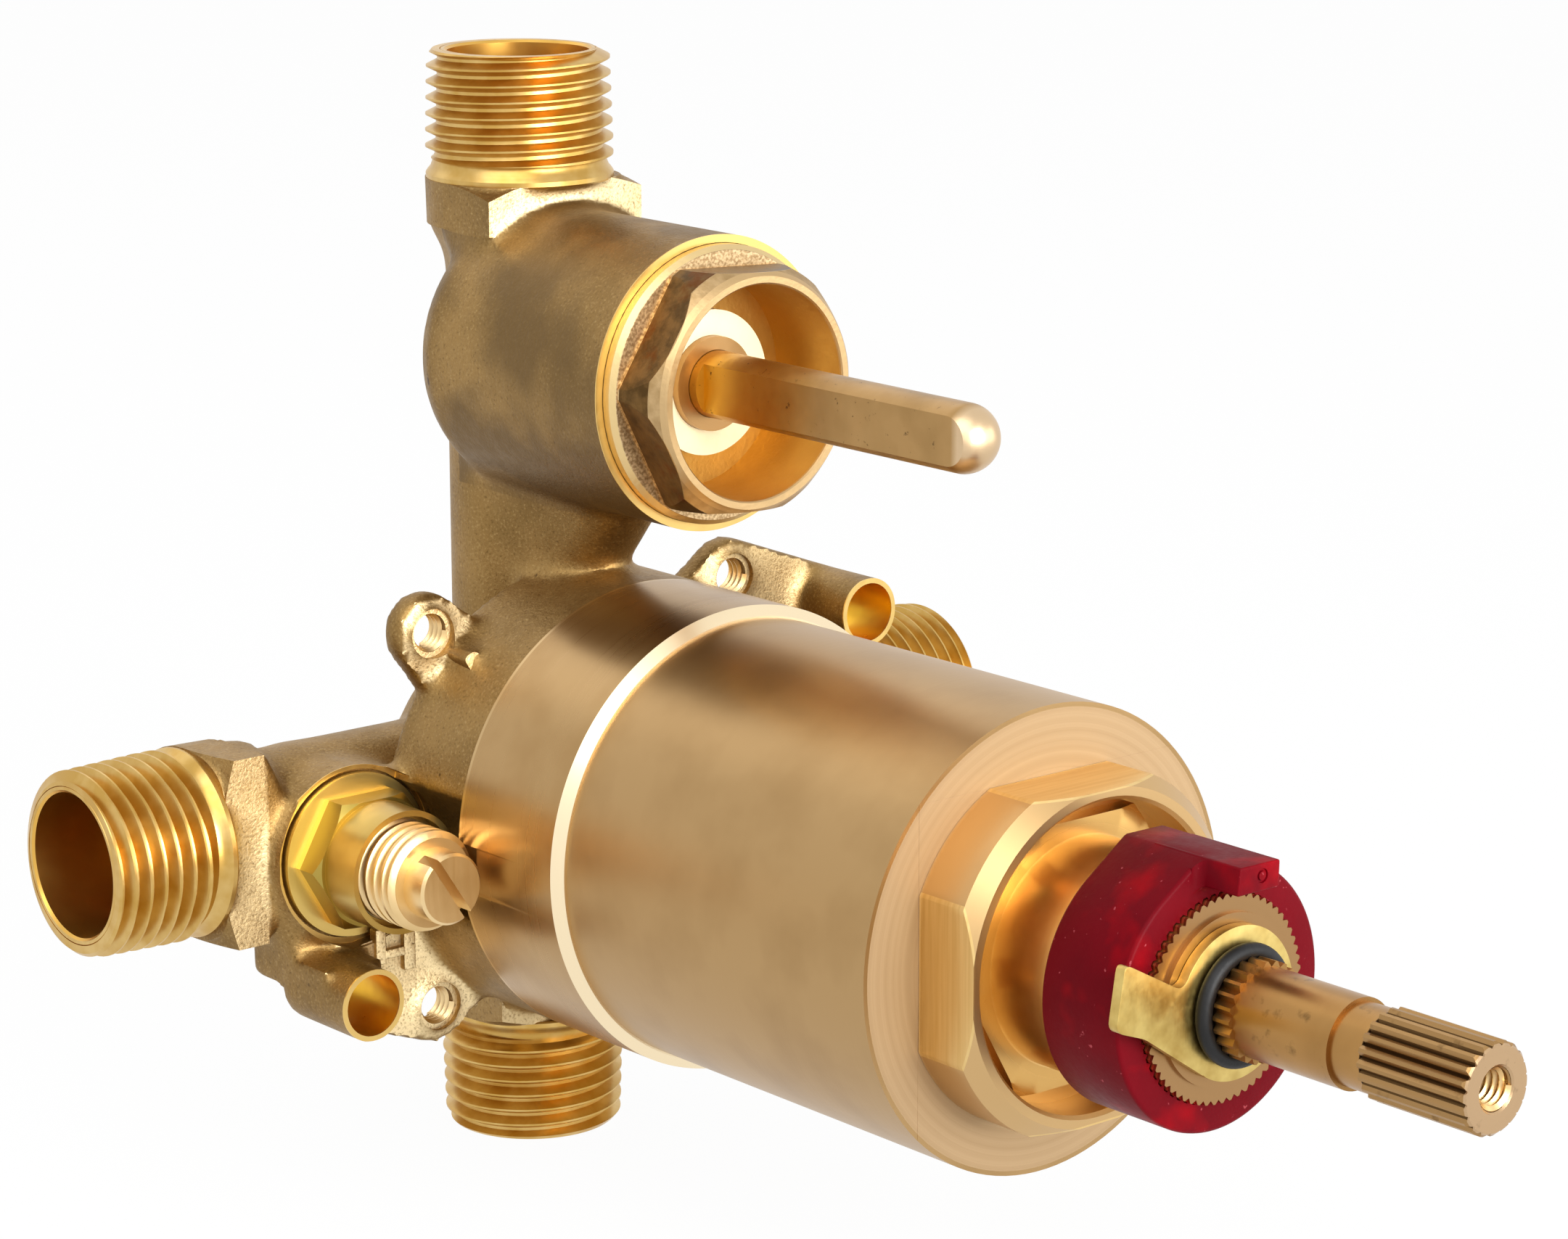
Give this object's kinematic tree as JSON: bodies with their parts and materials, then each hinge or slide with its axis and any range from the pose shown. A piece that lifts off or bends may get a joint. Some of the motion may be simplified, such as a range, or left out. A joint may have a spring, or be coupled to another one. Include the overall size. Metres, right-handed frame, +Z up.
{
  "type": "thermostatic shower valve",
  "caption": "Rough cast brass thermostatic mixing valve with threaded pipe ends, a splined temperature stem, a flattened diverter bar and slotted service stops.",
  "frame": {"origin": "on the main axis, in the plane of the four lug faces, at the centre of their tapped holes", "axes": "+Z up along the riser, +X to the right along the inlets, -Y out of the wall along both stems"},
  "size_m": [0.1238, 0.1591, 0.1263],
  "materials": {
    "cast_brass": "as cast, fine grain",
    "turned_brass": "turned, dull",
    "crimson_plastic": "moulded",
    "plated_steel": "yellow plated",
    "black_rubber": "smooth",
    "ivory_plastic": "moulded",
    "grey_plastic": "moulded",
    "spring_steel": "bright",
    "white_ceramic": "ground ceramic"
  },
  "bodies": {
    "valve": {"valve_body": "cast_brass", "front_sleeve": "turned_brass", "cartridge_bonnet": "turned_brass", "limit_ring": "crimson_plastic", "thrust_washer": "ivory_plastic", "cartridge_cage": "grey_plastic", "sleeve_oring": "black_rubber", "joint_oring": "black_rubber", "mixed_oring": "black_rubber", "cold_oring": "black_rubber", "hot_oring": "black_rubber", "diverter_bonnet": "turned_brass", "diverter_oring": "black_rubber", "diverter_bush": "turned_brass", "retainer_disc": "ivory_plastic", "fixed_disc": "white_ceramic", "hot_stop_bonnet": "turned_brass", "cold_stop_bonnet": "turned_brass", "return_spring": "spring_steel"},
    "stem": {"main_stem": "turned_brass", "tab_washer": "plated_steel", "stem_oring": "black_rubber", "stem_seal": "black_rubber"},
    "mixer": {"drive_nut": "turned_brass", "overload_spring": "spring_steel", "pin_seat": "turned_brass", "seat_clip": "spring_steel", "plunger_pin": "spring_steel", "wax_element": "turned_brass", "shuttle": "grey_plastic"},
    "diverter": {"diverter_stem": "turned_brass", "moving_disc": "white_ceramic", "diverter_stem_seal": "black_rubber"},
    "hot_seat": {"hot_stop_washer": "black_rubber"},
    "hot_spindle": {"hot_stop_spindle": "turned_brass", "hot_spindle_seal": "black_rubber"},
    "cold_seat": {"cold_stop_washer": "black_rubber"},
    "cold_spindle": {"cold_stop_spindle": "turned_brass", "cold_spindle_seal": "black_rubber"}
  },
  "joints": [
    {"name": "stem_turn", "type": "hinge", "parent": "valve", "child": "stem", "pos_m": [0, -0.12, 0], "axis": [0, -1, 0], "range_deg": [-46, 252]},
    {"name": "mixer_slide", "type": "slide", "parent": "valve", "child": "mixer", "axis": [0, 1, 0], "range_m": [-0.0004, 0.0019], "deforming": ["return_spring"]},
    {"name": "diverter_turn", "type": "hinge", "parent": "valve", "child": "diverter", "pos_m": [0, -0.04, 0.05045], "axis": [0, -1, 0], "range_deg": [0, 90]},
    {"name": "hot_stop_slide", "type": "slide", "parent": "valve", "child": "hot_seat", "axis": [0, 1, 0], "range_m": [0, 0.00352]},
    {"name": "hot_stop_turn", "type": "hinge", "parent": "hot_seat", "child": "hot_spindle", "pos_m": [-0.03147, -0.01, -0.00225], "axis": [0, 1, 0], "range_deg": [0, 840]},
    {"name": "cold_stop_slide", "type": "slide", "parent": "valve", "child": "cold_seat", "axis": [0, 1, 0], "range_m": [0, 0.00352]},
    {"name": "cold_stop_turn", "type": "hinge", "parent": "cold_seat", "child": "cold_spindle", "pos_m": [0.03147, -0.01, -0.00225], "axis": [0, 1, 0], "range_deg": [0, 840]}
  ],
  "couplings": [
    {"joint": "mixer_slide", "follows": "stem_turn", "m_per_rad": 0.00039789},
    {"joint": "hot_stop_slide", "follows": "hot_stop_turn", "m_per_rad": 0.00023873},
    {"joint": "cold_stop_slide", "follows": "cold_stop_turn", "m_per_rad": 0.00023873}
  ]
}
